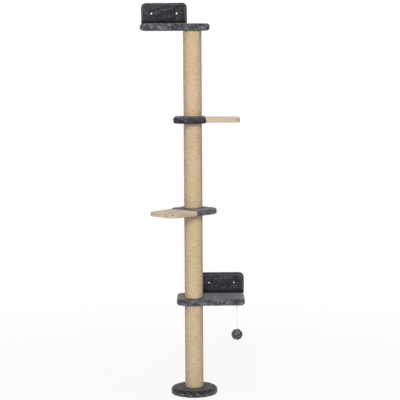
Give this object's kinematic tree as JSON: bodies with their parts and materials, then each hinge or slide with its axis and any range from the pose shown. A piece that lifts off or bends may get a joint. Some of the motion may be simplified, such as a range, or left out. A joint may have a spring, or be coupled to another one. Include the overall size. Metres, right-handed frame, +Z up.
{
  "type": "cat climbing wall",
  "caption": "Tall sisal-wound cat post on a round plush base, with plush wall shelves, turnable half-covered pine steps and a ball on a string.",
  "frame": {"origin": "middle of the base's foot on the floor, on the axis of the post", "axes": "+Z up along the post, +Y towards the wall that the plates are screwed to, +X to the right of someone who faces the wall"},
  "size_m": [0.445, 0.3161, 1.7085],
  "materials": {
    "pine": "matte",
    "core_board": "matte",
    "plug_wood": "matte",
    "grey_plush": "matte",
    "ball_plush": "matte",
    "sisal": "matte",
    "wound_tube": "matte",
    "zinc_steel": "satin",
    "foot_pad": "matte",
    "white_string": "matte",
    "wadding": "matte"
  },
  "bodies": {
    "root": {"base_board": "core_board", "base_plush": "grey_plush", "base_foot": "foot_pad", "base_bolt": "zinc_steel", "base_washer": "zinc_steel", "post_1_tube": "wound_tube", "post_1_plugs": "plug_wood", "post_1_inserts": "zinc_steel", "post_1_sisal": "sisal", "post_1_sisal_low_turns": "sisal", "post_1_sisal_top_turns": "sisal", "post_2_tube": "wound_tube", "post_2_plugs": "plug_wood", "post_2_inserts": "zinc_steel", "post_2_sisal": "sisal", "post_2_sisal_low_turns": "sisal", "post_2_sisal_top_turns": "sisal", "post_3_tube": "wound_tube", "post_3_plugs": "plug_wood", "post_3_inserts": "zinc_steel", "post_3_sisal": "sisal", "post_3_sisal_low_turns": "sisal", "post_3_sisal_top_turns": "sisal", "post_4_tube": "wound_tube", "post_4_plugs": "plug_wood", "post_4_inserts": "zinc_steel", "post_4_sisal": "sisal", "post_4_sisal_low_turns": "sisal", "post_4_sisal_top_turns": "sisal", "low_shelf_board": "core_board", "low_shelf_plush": "grey_plush", "low_shelf_plate_board": "core_board", "low_shelf_plate_plush": "grey_plush", "low_shelf_plate_screws": "zinc_steel", "top_shelf_board": "core_board", "top_shelf_plush": "grey_plush", "top_shelf_plate_board": "core_board", "top_shelf_plate_plush": "grey_plush", "top_shelf_plate_screws": "zinc_steel", "low_stud": "zinc_steel", "top_tee_nut": "zinc_steel", "top_stud": "zinc_steel", "lower_step_stud": "zinc_steel", "upper_step_stud": "zinc_steel", "toy_staple": "zinc_steel"},
    "upper_step": {"upper_step_board": "pine", "upper_step_plush": "grey_plush"},
    "lower_step": {"lower_step_board": "pine", "lower_step_plush": "grey_plush"},
    "toy_loop": {"toy_loop": "white_string"},
    "toy": {"toy_top_knot": "white_string", "toy_string": "white_string", "toy_end_knot": "white_string", "toy_ball_core": "wadding", "toy_ball_cover": "ball_plush"}
  },
  "joints": [
    {"name": "upper_step_swivel", "type": "hinge", "parent": "root", "child": "upper_step", "pos_m": [0, 0, 1.206], "axis": [0, 0, 1], "range_deg": [-180, 0]},
    {"name": "lower_step_swivel", "type": "hinge", "parent": "root", "child": "lower_step", "pos_m": [0, 0, 0.809], "axis": [0, 0, 1], "range_deg": [-47, 133]},
    {"name": "toy_sway", "type": "hinge", "parent": "root", "child": "toy_loop", "pos_m": [0.1875, -0.025, 0.3944], "axis": [0, 1, 0], "range_deg": [-60, 60]},
    {"name": "toy_swing", "type": "hinge", "parent": "toy_loop", "child": "toy", "pos_m": [0.1875, -0.025, 0.389], "axis": [1, 0, 0], "range_deg": [-60, 60]}
  ]
}
